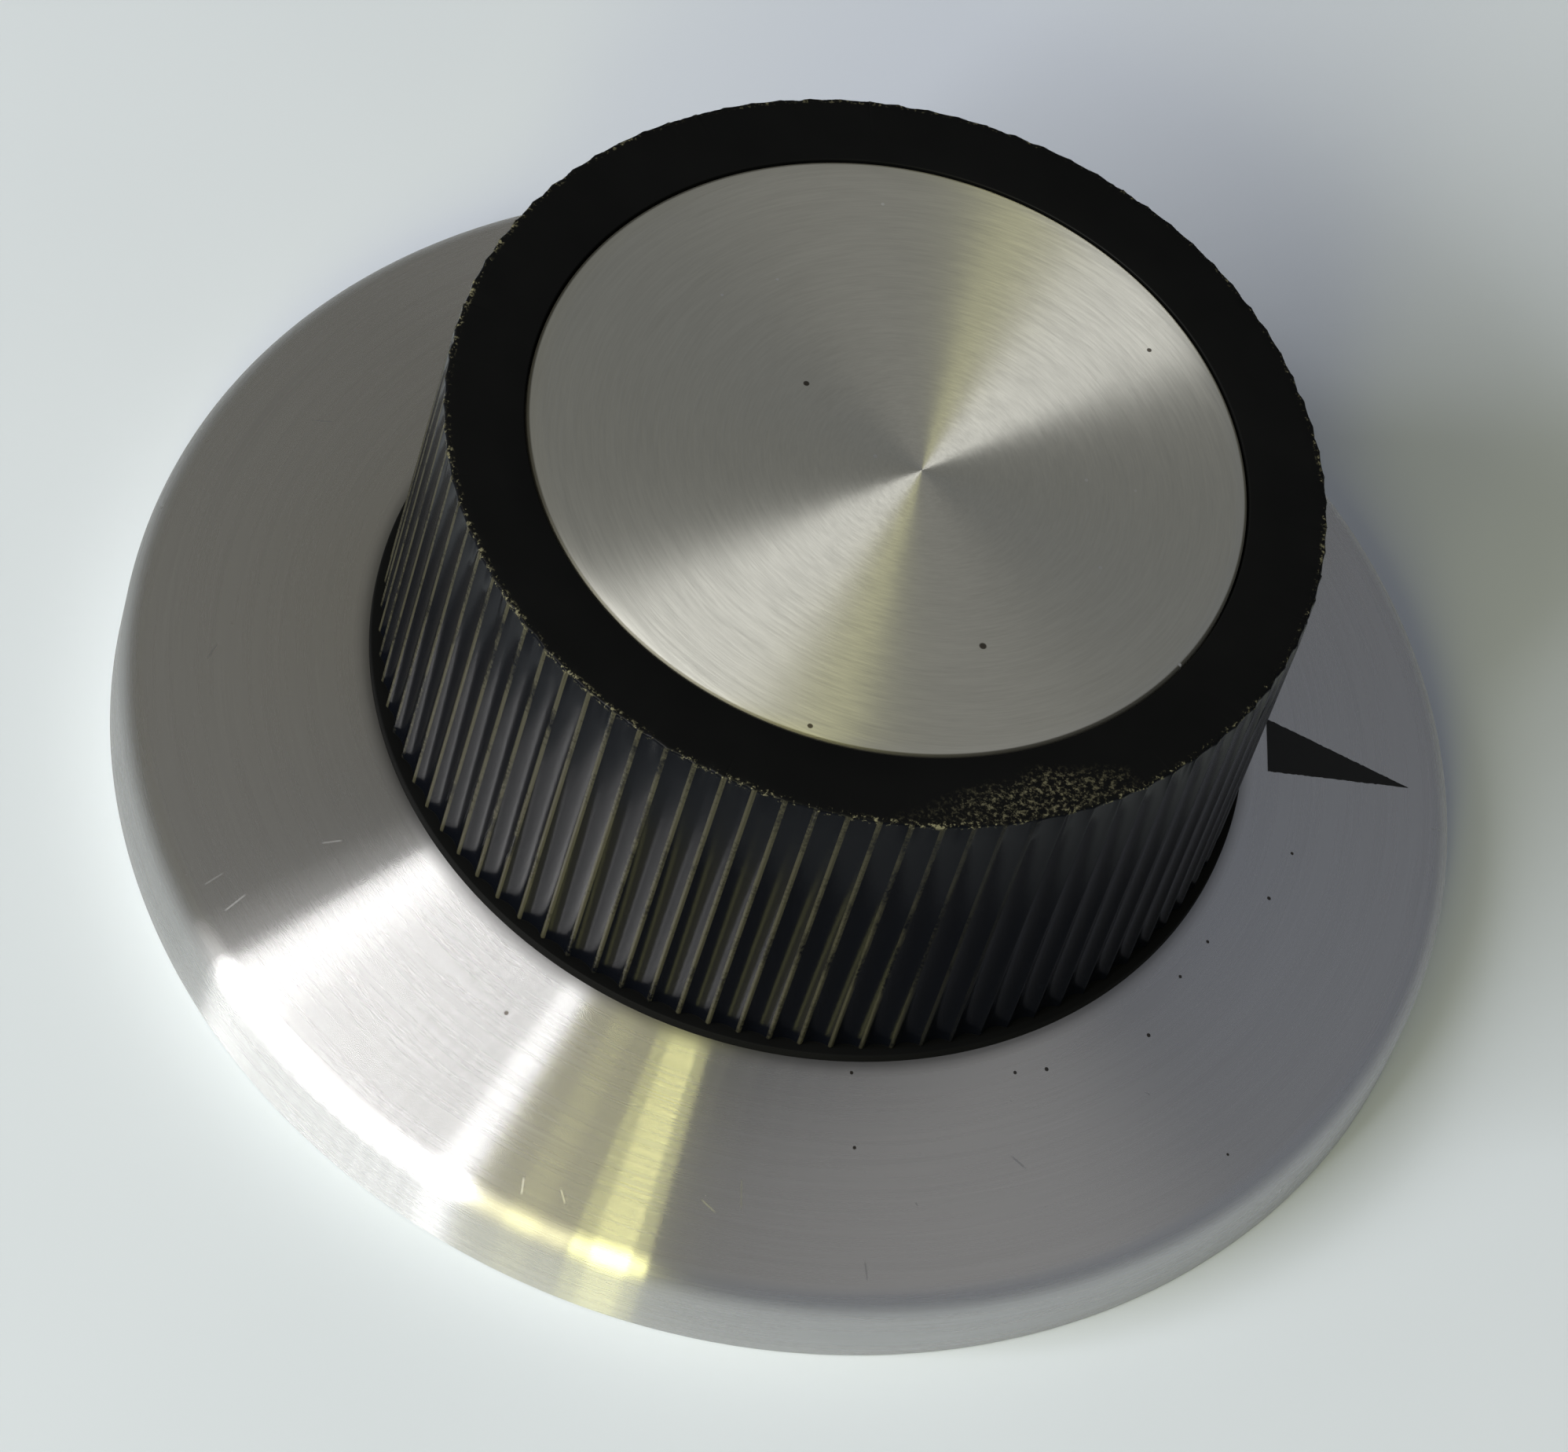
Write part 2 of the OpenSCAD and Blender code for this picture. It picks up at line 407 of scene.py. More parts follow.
def spun_disc_finish():
    """Bare circular brushed aluminium; the lathe's centre lies a little off the shaft axis."""
    f = Finish("spun_disc_metal", Metallic=1.0, Anisotropic=0.93, IOR=1.5)
    r, c, s = f.polar(BRUSH_CENTRE)
    own_r, _, _ = f.polar()
    fine = f.noise(f.vector(r * 12.0, c * 6.0, s * 6.0), 1.0, 3.0, 0.65)
    broad = f.noise(f.vector(r * 1.8, c * 2.0, s * 2.0), 1.0, 2.0, 0.5)
    shade = 0.95 + (fine - 0.5) * 0.3 + (broad - 0.5) * 0.08
    base = f.mix(shade, grey(0.0), (0.67, 0.662, 0.60, 1.0))
    dirt = f.spots(
        [(-2.71, 1.26, 0.1), (4.0, -5.17, 0.12), (0.39, -9.5, 0.09), (5.77, 6.3, 0.08)]
    )
    nicks = f.spots(
        [
            (5.24, 1.28, 0.06),
            (6.58, 1.49, 0.05),
            (-0.32, -0.32, 0.07),
            (6.31, -1.39, 0.06),
            (9.1, -3.6, 0.06),
            (-5.66, 3.2, 0.05),
            (-4.4, 4.35, 0.05),
            (-2.4, 8.1, 0.06),
        ]
    )
    # Painted shade: a thin dark line round the disc's edge, where it meets the ring, with rougher
    # metal there
    edge = f.span(own_r, DISC_R / MM - 0.1, DISC_R / MM - 0.04)
    base = f.mix(edge * 0.75, base, (0.10, 0.09, 0.05, 1.0))
    base = f.mix(dirt * 0.9, base, (0.04, 0.03, 0.02, 1.0))
    base = f.mix(nicks * 0.7, base, grey(0.95))
    f.set(Base_Color=base, Roughness=0.42 + (fine - 0.5) * 0.1 + nicks * 0.2 + edge * 0.25)
    f.bump(fine, 1.0, 0.006 * MM)
    f.along_uv("spin")
    return f.material


def moulded_black_finish():
    """Near-black moulded plastic: matt on the ring, satin in the flutes, worn along its top edge,
    with a painted highlight on the crests towards the lamps and a painted bluish reflection on the
    flute walls.
    """
    f = Finish("moulded_black_plastic", IOR=1.5, Specular_IOR_Level=0.055)
    r, c, s = f.polar()
    grain = f.noise(f.mm, 9.0, 3.0, 0.6)
    cloud = f.noise(f.mm, 0.5, 2.0, 0.5)
    flecks = f.noise(f.mm, 7.0, 4.0, 0.75)
    relief = f.out("ShaderNodeAttribute", {"attribute_name": "relief"}, output="Fac")
    ring = f.span(f.z, KNOB_H / MM - 0.05, KNOB_H / MM - 0.01)
    collar = f.span(f.z, COLLAR_Z / MM + 0.06, COLLAR_Z / MM + 0.01)

    # Painted highlight along the crests on the side towards the soft box, broken up like wear; the
    # chipped top edge, and a dusty scuff on the front of the ring
    wall = f.span(r, COLLAR_R / MM - 0.7, COLLAR_R / MM - 0.6) * (1 - collar) * (1 - ring)
    glint_side = f.span(c * math.cos(CREST_GLINT_AZ) + s * math.sin(CREST_GLINT_AZ), 0.2, 0.8)
    crest = f.span(relief, 0.95, 1.0) * f.span(grain * 0.5 + cloud, 0.5, 0.8) * wall * glint_side
    edge = f.span(f.z, KNOB_H / MM - 0.2, KNOB_H / MM - 0.06) * f.span(r, 11.85, 11.98)
    chipped = edge * f.span(flecks + (cloud - 0.5) * 0.3, 0.55, 0.66)
    cos_dust, sin_dust = math.cos(DUST_AZ), math.sin(DUST_AZ)
    dx, dy = f.x - DUST_R / MM * cos_dust, f.y - DUST_R / MM * sin_dust
    along = dy * cos_dust - dx * sin_dust
    outward = dx * cos_dust + dy * sin_dust
    reach = ((along / 3.8) ** 2 + (outward / 0.9) ** 2).math("SQRT") + (cloud - 0.5) * 1.2
    dust = f.span(reach, 1.05, 0.35) * ring * f.span(flecks, 0.48, 0.68)

    base = f.mix(cloud, grey(0.002, -0.06), grey(0.0035, -0.04))
    # Painted reflection: a bluish tint on the flute walls
    base = f.mix(wall, base, (0.002, 0.0024, 0.0038, 1.0))
    # Painted highlight on the crests
    base = f.mix(crest * 0.7, base, (0.05, 0.047, 0.03, 1.0))
    base = f.mix(chipped * 0.75, base, (0.17, 0.16, 0.10, 1.0))
    base = f.mix(dust * 0.6, base, (0.15, 0.14, 0.09, 1.0))
    rough = 0.16 + (grain - 0.5) * 0.08 + (cloud - 0.5) * 0.06 + ring * 0.37 + collar * 0.5
    f.set(Base_Color=base, Roughness=rough + chipped * 0.3 + crest * 0.15)
    f.bump(grain, 0.3, 0.004 * MM)
    return f.material


def pointer_ink_finish():
    f = Finish("pointer_ink_black", IOR=1.5, Specular_IOR_Level=0.25)
    mottle = f.noise(f.mm, 3.0, 3.0, 0.6)
    f.set(Base_Color=f.mix(mottle, grey(0.003), grey(0.006)), Roughness=0.42 + mottle * 0.15)
    f.bump(mottle, 0.2, 0.003 * MM)
    return f.material


def turned_brass_finish():
    f = Finish("turned_brass", Metallic=1.0)
    r, c, s = f.polar()
    lines = f.noise(f.vector(r * 9.0, c * 2.0, s * 2.0 + f.z * 6.0), 1.0, 3.0, 0.6)
    stain = f.noise(f.mm, 0.6, 3.0, 0.6)
    base = f.mix(stain, (0.62, 0.42, 0.17, 1.0), (0.42, 0.27, 0.11, 1.0))
    f.set(Base_Color=base, Roughness=0.28 + lines * 0.2 + stain * 0.1)
    f.bump(lines, 0.3, 0.006 * MM)
    return f.material


def dark_steel_finish():
    f = Finish("blackened_steel", Metallic=1.0)
    wear = f.noise(f.mm, 3.5, 3.0, 0.6)
    worn = f.span(wear, 0.56, 0.7)
    base = f.mix(worn, grey(0.07, 0.02), grey(0.3, 0.01))
    f.set(Base_Color=base, Roughness=0.34 + wear * 0.2)
    f.bump(wear, 0.2, 0.005 * MM)
    return f.material


def plated_steel_finish():
    f = Finish("plated_spring_steel", Metallic=1.0)
    lines = f.noise(f.vector(f.x * 7.0, f.y * 0.6, f.z), 1.0, 3.0, 0.6)
    cloud = f.noise(f.mm, 0.9, 2.0, 0.5)
    base = f.mix(cloud, grey(0.42, 0.01), grey(0.56, 0.03))
    f.set(Base_Color=base, Roughness=0.26 + lines * 0.14 + cloud * 0.1)
    f.bump(lines, 0.25, 0.004 * MM)
    return f.material


# ---------------------------------------------------------------- meshes


def arc(centre_r, centre_z, radius, start, end, steps):
    """Points of a section along an arc; angles in degrees from the outward direction."""
    points = []
    for i in range(steps + 1):
        a = math.radians(start + (end - start) * i / steps)
        points.append((centre_r + radius * math.cos(a), centre_z + radius * math.sin(a)))
    return points


def line(start, end, steps):
    """Points of a section along a straight line, without its first point."""
    return [
        tuple(a + (b - a) * i / steps for a, b in zip(start, end)) for i in range(1, steps + 1)
    ]


def mesh_from(name, points, faces):
    mesh = bpy.data.meshes.new(name)
    mesh.from_pydata([tuple(p) for p in points], [], faces)
    mesh.update()
    return mesh


def add_piece(name, mesh, material=None):
    piece = bpy.data.objects.new(name, mesh)
    bpy.context.scene.collection.objects.link(piece)
    if material is not None:
        mesh.materials.clear()
        mesh.materials.append(material)
    return piece


def shade(mesh, sharp_angle=35.0):
    """Smooth shading with creases where the surface turns sharply."""
    mesh.polygons.foreach_set("use_smooth", [True] * len(mesh.polygons))
    mesh.set_sharp_from_angle(angle=math.radians(sharp_angle))


def turned(name, section, columns, closed=False, spin_uv=False, centre=None):
    """A turned mesh. section runs so that the outside is on its left; closed joins its ends.

    centre(r) gives the offset of the ring at radius r, for a pole that lies off the axis.
    """
    count = len(section)
    points, ring_start = [], []
    for r, z in section:
        ring_start.append(len(points))
        ox, oy = centre(r) if centre else (0.0, 0.0)
        if r < 1e-9:
            points.append((ox, oy, z))
            continue
        for j in range(columns):
            a = 2 * math.pi * j / columns
            points.append((ox + r * math.cos(a), oy + r * math.sin(a), z))
    along = [0.0]
    for (r0, z0), (r1, z1) in zip(section, section[1:] + section[:1]):
        along.append(along[-1] + math.hypot(r1 - r0, z1 - z0))
    faces, uvs = [], []
    for i in range(count if closed else count - 1):
        k = (i + 1) % count
        low, high = along[i] / MM, along[i + 1] / MM
        for j in range(columns):
            m = (j + 1) % columns
            left, right = j / columns, (j + 1) / columns
            a, b = ring_start[i], ring_start[k]
            if section[i][0] < 1e-9:
                faces.append((a, b + m, b + j))
                uvs += [(low, (left + right) / 2), (high, right), (high, left)]
            elif section[k][0] < 1e-9:
                faces.append((a + j, a + m, b))
                uvs += [(low, left), (low, right), (high, (left + right) / 2)]
            else:
                faces.append((a + j, a + m, b + m, b + j))
                uvs += [(low, left), (low, right), (high, right), (high, left)]
    mesh = mesh_from(name, points, faces)
    if spin_uv:
        layer = mesh.uv_layers.new(name="spin")
        layer.data.foreach_set("uv", [value for uv in uvs for value in uv])
    shade(mesh)
    return mesh


def check_outward(mesh):
    """Turns all faces round if the closed mesh is inside out."""
    mesh.calc_loop_triangles()
    co = np.empty(len(mesh.vertices) * 3)
    mesh.vertices.foreach_get("co", co)
    co = co.reshape(-1, 3)
    tri = np.empty(len(mesh.loop_triangles) * 3, int)
    mesh.loop_triangles.foreach_get("vertices", tri)
    a, b, c = co[tri.reshape(-1, 3)].transpose(1, 0, 2)
    if np.einsum("ij,ij->i", a, np.cross(b, c)).sum() < 0:
        mesh.flip_normals()
    return mesh


def ride(piece, slot, *nodes):
    """The piece rides on the knob's one body and stands for these nodes. slot is not used."""
    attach(piece, "root")
    if nodes:
        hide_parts(*nodes)


# ---------------------------------------------------------------- skirt


def cone_z(r):
    """Height of the skirt's upper surface on its cone."""
    return SEAT_Z - math.tan(FALL) * (r - SEAT_R)


def make_skirt():
    round_x = SKIRT_R - EDGE_R
    round_z = cone_z(round_x) - EDGE_R / math.cos(FALL)
    inner_round = EDGE_R - SKIRT_T
    brk = 0.06 * MM
    slope = 90 - math.degrees(FALL)
    outer = [(SKIRT_R - brk, 0.0), (SKIRT_R - 0.3 * brk, 0.3 * brk), (SKIRT_R, brk)]
    outer += line((SKIRT_R, brk), (SKIRT_R, round_z), 3)
    outer += arc(round_x, round_z, EDGE_R, 0, slope, 14)[1:]
    outer += line(outer[-1], (SEAT_R, SEAT_Z), 12)
    outer += [(BOSS_R + BOSS_GAP, SEAT_Z)]
    bend_r = SEAT_R - SKIRT_T * math.tan(FALL / 2)
    inner = [(BOSS_R + BOSS_GAP, SEAT_Z - SKIRT_T), (bend_r, SEAT_Z - SKIRT_T)]
    under = arc(round_x, round_z, inner_round, slope, 0, 5)
    inner += line(inner[-1], under[0], 6) + under[1:]
    inner += line(inner[-1], (SKIRT_R - SKIRT_T, brk), 2)
    inner += [(SKIRT_R - SKIRT_T + 0.3 * brk, 0.3 * brk), (SKIRT_R - SKIRT_T + brk, 0.0)]
    mesh = check_outward(turned("skirt_spun", outer + inner, 720, closed=True, spin_uv=True))
    piece = add_piece("skirt_spun", mesh, spun_skirt_finish())
    ride(piece, "spun_skirt", "skirt")


# ---------------------------------------------------------------- top disc


def make_disc():
    """The disc's rings slide from the lathe's centre to the shaft axis as they widen."""
    bevel = 0.06 * MM

    def centre(r):
        share = 1 - min(r / (DISC_R - bevel), 1.0)
        return BRUSH_CENTRE.x * share, BRUSH_CENTRE.y * share

    top = [(0.0, DISC_TOP)] + line((0.0, DISC_TOP), (DISC_R - bevel, DISC_TOP), 24)
    side = arc(DISC_R - bevel, DISC_TOP - bevel, bevel, 90, 0, 3)[1:]
    side += [(DISC_R, RECESS_Z), (DISC_R / 2, RECESS_Z), (0.0, RECESS_Z)]
    mesh = turned("disc_spun", top + side, 360, spin_uv=True, centre=centre)
    piece = add_piece("disc_spun", check_outward(mesh), spun_disc_finish())
    ride(piece, "spun_disc", "top_disc")


# ---------------------------------------------------------------- grip

CUTS_PER_FLUTE = 20


def fluted_grip_tree():
    """Geometry Nodes: presses the flutes into a turned blank and drills the two access holes.

    Each ring of the blank has CUTS_PER_FLUTE points a flute. Across half a flute they follow the
    cutter's arc, then the small round of the crest, then the land. flute_depth and girth on the
    blank give the flute's section at each ring, and cut says how much of it is pressed in.
    """
    group = bpy.data.node_groups.new("fluted_grip", "GeometryNodeTree")
    inputs = {
        "Blank": "NodeSocketGeometry",
        "Flutes": "NodeSocketFloat",
        "Flute Share": "NodeSocketFloat",
        "Crest Radius": "NodeSocketFloat",
        "Chip Depth": "NodeSocketFloat",
        "Hole Radius": "NodeSocketFloat",
        "Hole Start": "NodeSocketFloat",
        "Hole Height": "NodeSocketFloat",
        "Hole Azimuth": "NodeSocketFloat",
        "Material": "NodeSocketMaterial",
    }
    for name, kind in inputs.items():
        group.interface.new_socket(name, in_out="INPUT", socket_type=kind)
    group.interface.new_socket("Grip", in_out="OUTPUT", socket_type="NodeSocketGeometry")
    t = Tree(group)
    entry = group.nodes.new("NodeGroupInput")
    given = {name: Value(t, entry.outputs[name]) for name in inputs}

    def attribute(name):
        return t.out("GeometryNodeInputNamedAttribute", {"data_type": "FLOAT"}, {"Name": name})

    place = t.out("GeometryNodeInputPosition")
    x, y, z = t.parts(place)
    radius = (x * x + y * y).math("SQRT")
    depth, girth, cut, rim = (attribute(n) for n in ("flute_depth", "girth", "cut", "rim"))

    # Where a point lies in its flute: 0 at the root and 1 at the middle of the land
    step = 2 * math.pi / given["Flutes"]
    turns = y.math("ARCTAN2", x) / step
    cell = (turns + 0.0001).math("FLOOR")
    share = (turns - cell) * 2 - 1
    side = share.math("SIGN")
    half = abs(share).math("MINIMUM", 1.0)

    # Cutter arc and crest round, tangent to each other and to the blank
    crest = given["Crest Radius"]
    half_pitch = girth * step / 2
    reach = half_pitch * given["Flute Share"]
    cutter = (reach * reach + depth * depth) / (depth * 2) - crest
    lift = cutter - depth
    turn = (reach / (cutter + crest)).math("ARCSINE")
    arc_end, round_end = 0.8, 0.9
    a = turn * (half / arc_end)
    arc_x, arc_y = cutter * a.math("SINE"), lift - cutter * a.math("COSINE")
    b = turn * ((round_end - half) / (round_end - arc_end))
    round_x, round_y = reach - crest * b.math("SINE"), crest * b.math("COSINE") - crest
    land_x = reach + (half_pitch - reach) * ((half - round_end) / (1 - round_end))
    on_arc = half < arc_end + 0.001
    on_land = half > round_end
    on_round = 1 - on_arc - on_land
    across = arc_x * on_arc + round_x * on_round + land_x * on_land
    inward = arc_y * on_arc + round_y * on_round

    # Small chips along the rim
    in_mm = t.out(
        "ShaderNodeVectorMath", {"operation": "SCALE"}, {"Vector": place, "Scale": 1 / MM}
    )
    chip = t.noise(in_mm, 2.6, 3.0, 0.6)
    chip = ((chip - 0.52) * 4).math("MAXIMUM", 0.0).math("MINIMUM", 1.0) * rim
    new_radius = radius + inward * cut - given["Chip Depth"] * chip
    angle = (cell + 0.5) * step + side * across / girth
    new_place = t.vector(
        new_radius * angle.math("COSINE"),
        new_radius * angle.math("SINE"),
        z - given["Chip Depth"] * chip * 0.6,
    )
    fluted = t.out(
        "GeometryNodeSetPosition", None, {"Geometry": given["Blank"], "Position": new_place}
    )
    relief = t.out(
        "GeometryNodeStoreNamedAttribute",
        {"data_type": "FLOAT", "domain": "POINT"},
        {"Geometry": fluted, "Name": "relief", "Value": 1 + inward * cut / depth},
    )
    solid = t.out("GeometryNodeMergeByDistance", None, {"Geometry": relief, "Distance": 0.001 * MM})

    # Access holes, a quarter turn apart
    drill_length = COLLAR_R
    drill = t.out(
        "GeometryNodeMeshCylinder",
        None,
        {"Vertices": 96, "Radius": given["Hole Radius"], "Depth": drill_length},
    )
    shift = t.vector(given["Hole Start"] + drill_length / 2, 0.0, given["Hole Height"])
    laid = t.out(
        "GeometryNodeTransform",
        None,
        {"Geometry": drill, "Translation": shift, "Rotation": (0.0, math.pi / 2, 0.0)},
    )
    first = t.out(
        "GeometryNodeTransform",
        None,
        {"Geometry": laid, "Rotation": t.vector(0.0, 0.0, given["Hole Azimuth"])},
    )
    second = t.out(
        "GeometryNodeTransform",
        None,
        {"Geometry": laid, "Rotation": t.vector(0.0, 0.0, given["Hole Azimuth"] + math.pi / 2)},
    )
    boolean = t.node("GeometryNodeMeshBoolean", {"operation": "DIFFERENCE", "solver": "MANIFOLD"})
    t.put(boolean.inputs["Mesh 1"], solid)
    t.put(boolean.inputs["Mesh 2"], first)
    t.put(boolean.inputs["Mesh 2"], second)
    drilled = Value(t, boolean.outputs["Mesh"])
    real = t.out("GeometryNodeRealizeInstances", None, {"Geometry": drilled})
    done = t.out(
        "GeometryNodeSetMaterial", None, {"Geometry": real, "Material": given["Material"]}
    )
    leave = group.nodes.new("NodeGroupOutput")
    t.put(leave.inputs["Grip"], done)
    return group


def grip_section():
    """The blank's section from the recess to the bushing's seat, with each ring's flute.

    Each ring is (radius, height, flute depth, girth, cut, rim).
    """
    top_r, base_r = CREST_TOP_R, CREST_BASE_R
    edge = 0.1 * MM
    lip = 0.05 * MM
    upper = (FLUTE_TOP_DEPTH, top_r)
    lower = (FLUTE_BASE_DEPTH, base_r)
    rings = [(r, z, *upper, 0, 0) for r, z in [(0.0, RECESS_Z), (RECESS_R, RECESS_Z)]]
    inner_lip = arc(RECESS_R + lip, KNOB_H - lip, lip, 180, 90, 3)
    rings += [(r, z, *upper, 0, 0) for r, z in inner_lip]
    rings += [(r, KNOB_H, *upper, 0, 0) for r in (RECESS_R + 0.9 * MM, top_r - 4 * edge)]
    for i, (r, z) in enumerate(arc(top_r - edge, KNOB_H - edge, edge, 90, 0, 4)):
        rings.append((r, z, *upper, 0.55 + 0.45 * i / 4, 1))
    wall_rows = 12
    for i in range(1, wall_rows + 1):
        t = i / wall_rows
        z = (KNOB_H - edge) * (1 - t) + COLLAR_Z * t
        depth = FLUTE_TOP_DEPTH * (1 - t) + FLUTE_BASE_DEPTH * t
        girth = top_r * (1 - t) + base_r * t
        rings.append((girth, z, depth, girth, 1, 0))
    collar = arc(COLLAR_R - lip, COLLAR_Z - lip, lip, 90, 0, 3)
    rings += [(r, z, *lower, 0, 0) for r, z in collar]
    seat = [
        (COLLAR_R, SEAT_Z),
        (BOSS_R, SEAT_Z),
        (BOSS_R, BUSH_Z + 2 * lip),
        (BOSS_R - 2 * lip, BUSH_Z),
        (BUSH_R, BUSH_Z),
        (BUSH_R, BUSH_TOP),
        (0.0, BUSH_TOP),
    ]
    rings += [(r, z, *lower, 0, 0) for r, z in seat]
    return rings


def grip_blank():
    rings = np.array(grip_section())
    columns = FLUTES * CUTS_PER_FLUTE
    angles = np.arange(columns) * 2 * math.pi / columns
    points = np.empty((len(rings), columns, 3))
    points[..., 0] = rings[:, None, 0] * np.cos(angles)
    points[..., 1] = rings[:, None, 0] * np.sin(angles)
    points[..., 2] = rings[:, None, 1]
    faces = []
    for i in range(len(rings) - 1):
        a, b = i * columns, (i + 1) * columns
        for j in range(columns):
            k = (j + 1) % columns
            faces.append((a + j, b + j, b + k, a + k))
    mesh = mesh_from("grip_blank", points.reshape(-1, 3), faces)
    for column, name in enumerate(("flute_depth", "girth", "cut", "rim"), start=2):
        layer = mesh.attributes.new(name, "FLOAT", "POINT")
        layer.data.foreach_set("value", np.repeat(rings[:, column], columns))
    return check_outward(mesh)


def evaluated(name, mesh, tree, **sizes):
    """The plain mesh that a tree makes of a mesh, with its inputs set by socket identifier."""
    holder = add_piece(name + "_blank", mesh)
    modifier = holder.modifiers.new("shape", "NODES")
    modifier.node_group = tree
    sockets = {s.name: s.identifier for s in tree.interface.items_tree if s.in_out == "INPUT"}
    for key, value in sizes.items():
        modifier[sockets[key.replace("_", " ")]] = value
    graph = bpy.context.evaluated_depsgraph_get()
    made = bpy.data.meshes.new_from_object(holder.evaluated_get(graph))
    made.name = name
    bpy.data.objects.remove(holder)
    return made


def make_grip():
    screw_low, screw_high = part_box("set_screw_side")
    mesh = evaluated(
        "grip_moulding",
        grip_blank(),
        fluted_grip_tree(),
        Flutes=float(FLUTES),
        Flute_Share=FLUTE_SHARE,
        Crest_Radius=CREST_ROUND,
        Chip_Depth=CHIP_DEPTH,
        Hole_Radius=ACCESS_R,
        Hole_Start=ACCESS_START,
        Hole_Height=(screw_low.z + screw_high.z) / 2,
        Hole_Azimuth=POINTER_AZ,
        Material=moulded_black_finish(),
    )
    shade(mesh)
    ride(add_piece("grip_moulding", mesh), "moulded_black", "grip_body")


# ---------------------------------------------------------------- pointer


def make_pointer():
    """The printed triangle: a thin film on the cone with slightly uneven edges."""
    base_r, tip_r, half_width = 13.22 * MM, 17.65 * MM, 0.9 * MM
    film = 0.012 * MM
    rng = random.Random(4)
    rows, across = 60, 8
    top, bottom = [], []
    for i in range(rows + 1):
        t = i / rows
        r = base_r + (tip_r - base_r) * t
        left = right = half_width * (1 - t)
        fade = min(1.0, (1 - t) * 6)
        left += rng.uniform(-0.012, 0.012) * MM * fade
        right += rng.uniform(-0.012, 0.012) * MM * fade
        for j in range(across + 1):
            y = -right + (left + right) * j / across
            lift = cone_z(math.hypot(r, y))
            top.append((r, y, lift + film))
            bottom.append((r, y, lift - film / 2))
    width = across + 1
    count = len(top)
    faces = []
    for i in range(rows):
        for j in range(across):
            a = i * width + j
            faces.append((a, a + width, a + width + 1, a + 1))
            faces.append((count + a, count + a + 1, count + a + width + 1, count + a + width))
    border = list(range(across + 1))
    border += [i * width + across for i in range(1, rows + 1)]
    border += [rows * width + j for j in range(across - 1, -1, -1)]
    border += [i * width for i in range(rows - 1, 0, -1)]
    for a, b in zip(border, border[1:] + border[:1]):
        faces.append((a, b, count + b, count + a))
    mesh = mesh_from("pointer_print", top + bottom, faces)
    mesh.transform(Matrix.Rotation(POINTER_AZ, 4, "Z"))
    check_outward(mesh)
    shade(mesh)
    ride(add_piece("pointer_print", mesh, pointer_ink_finish()), "pointer_ink", "pointer_mark")


# ---------------------------------------------------------------- parts under and inside


def dress_inner_parts():
    """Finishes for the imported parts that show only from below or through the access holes."""
    finishes = {
        "shaft_bushing": turned_brass_finish(),
        "set_screw_front": dark_steel_finish(),
        "set_screw_side": dark_steel_finish(),
        "skirt_retainer": plated_steel_finish(),
    }
    for node, material in finishes.items():
        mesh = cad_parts[node].data
        mesh.materials.clear()
        mesh.materials.append(material)


# ---------------------------------------------------------------- studio


def make_floor():
    size = 3.0
    mesh = mesh_from(
        "floor",
        [(-size, -size, 0), (size, -size, 0), (size, size, 0), (-size, size, 0)],
        [(0, 1, 2, 3)],
    )
    f = Finish("pale_floor", Roughness=0.9)
    soft = f.noise(f.mm, 0.05, 2.0, 0.5)
    f.set(Base_Color=f.mix(soft, (0.52, 0.56, 0.62, 1.0), (0.56, 0.60, 0.66, 1.0)))
    add_piece("floor", mesh, f.material)


def add_panel(name, azimuth, width, radiance, colour=(1, 1, 1), distance=PANEL_DISTANCE):
    """A rectangular light that faces the knob, seen from it at this azimuth in degrees."""
    data = bpy.data.lights.new(name, "AREA")
    data.shape = "RECTANGLE"
    data.size, data.size_y = width, PANEL_HEIGHT
    data.energy = radiance * math.pi * width * PANEL_HEIGHT
    data.color = colour
    light = bpy.data.objects.new(name, data)
    a, e = math.radians(azimuth), math.radians(PANEL_ELEVATION)
    toward = Vector((math.cos(a) * math.cos(e), math.sin(a) * math.cos(e), math.sin(e)))
    light.location = toward * distance + Vector((0, 0, SEAT_Z))
    light.rotation_mode = "QUATERNION"
    light.rotation_quaternion = toward.to_track_quat("Z", "Y")
    bpy.context.scene.collection.objects.link(light)


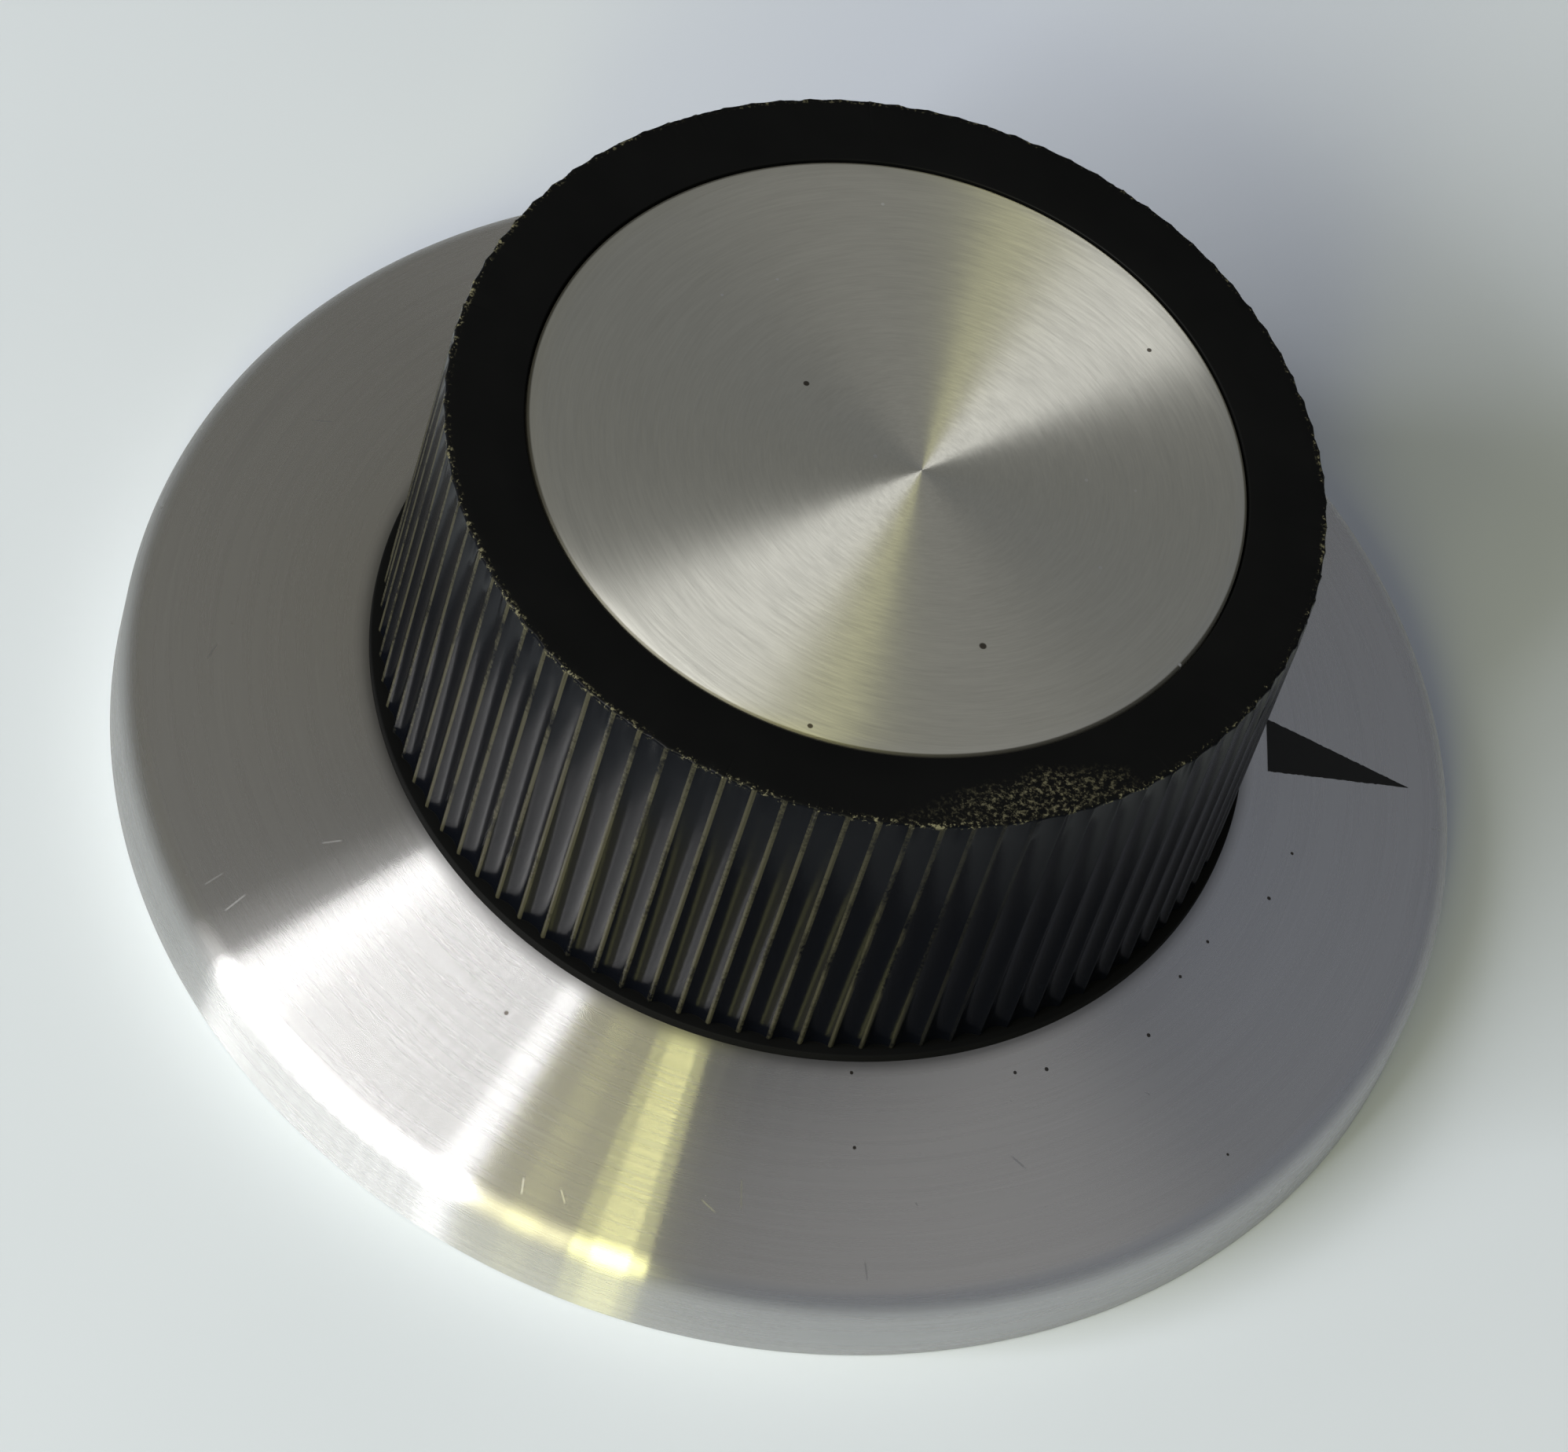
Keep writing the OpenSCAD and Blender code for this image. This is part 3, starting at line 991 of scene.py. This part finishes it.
def make_world():
    """A soft pale room: brighter overhead, cooler on the right, warmer on the left."""
    world = bpy.data.worlds.new("studio")
    bpy.context.scene.world = world
    world.use_nodes = True
    t = Tree(world.node_tree)
    direction = t.out("ShaderNodeTexCoord", output="Generated")
    x, y, z = t.parts(direction)
    right = t.span(x, -0.3, 0.4)
    high_wall = t.mix(right, (0.235, 0.225, 0.175, 1.0), (0.235, 0.260, 0.320, 1.0))
    low_wall = t.mix(right, (0.140, 0.137, 0.125, 1.0), (0.140, 0.148, 0.165, 1.0))
    walls = t.mix(t.span(z, 0.6, 0.35), high_wall, low_wall)
    sky = t.mix(t.span(z, 0.9, 0.65), (0.27, 0.27, 0.265, 1.0), walls)
    # A brighter patch of the ceiling, a little to the right
    patch = x * 0.245 + y * 0.164 + z * 0.956
    sky = t.mix(t.span(patch, 0.955, 0.992), sky, (0.62, 0.61, 0.585, 1.0))
    t.put(world.node_tree.nodes["Background"].inputs["Color"], sky)


def make_lights():
    """One wide soft box with bright sides and fine ribs, then a warm glow and a gold strip."""
    gold = (1.0, 0.985, 0.42)
    amber = (1.0, 0.95, 0.55)
    add_panel("key", -135.4, 0.44, 7.5)
    add_panel("key_left_side", -155.0, 0.064, 12.5)
    add_panel("key_left_spill", -161.5, 0.054, 1.6)
    add_panel("key_right_side", -115.1, 0.045, 17.0)
    for rib in range(12):
        add_panel("key_rib", -150 + 2.85 * rib, 0.011, 14.0, distance=PANEL_DISTANCE - 0.01)
    add_panel("glow", -104.0, 0.149, 4.6, amber)
    add_panel("glow_core", -103.2, 0.042, 1.8, gold)
    add_panel("gold_strip", -90.0, 0.049, 15.0, gold)
    add_panel("gold_strip_left", -94.2, 0.027, 8.0, gold)
    add_panel("gold_strip_right", -86.1, 0.027, 7.0, gold)


# ---------------------------------------------------------------- build

make_camera()
make_skirt()
make_disc()
make_grip()
make_pointer()
dress_inner_parts()
make_floor()
make_world()
make_lights()

bpy.context.scene.view_settings.view_transform = "Standard"

bpy.context.view_layer.update()
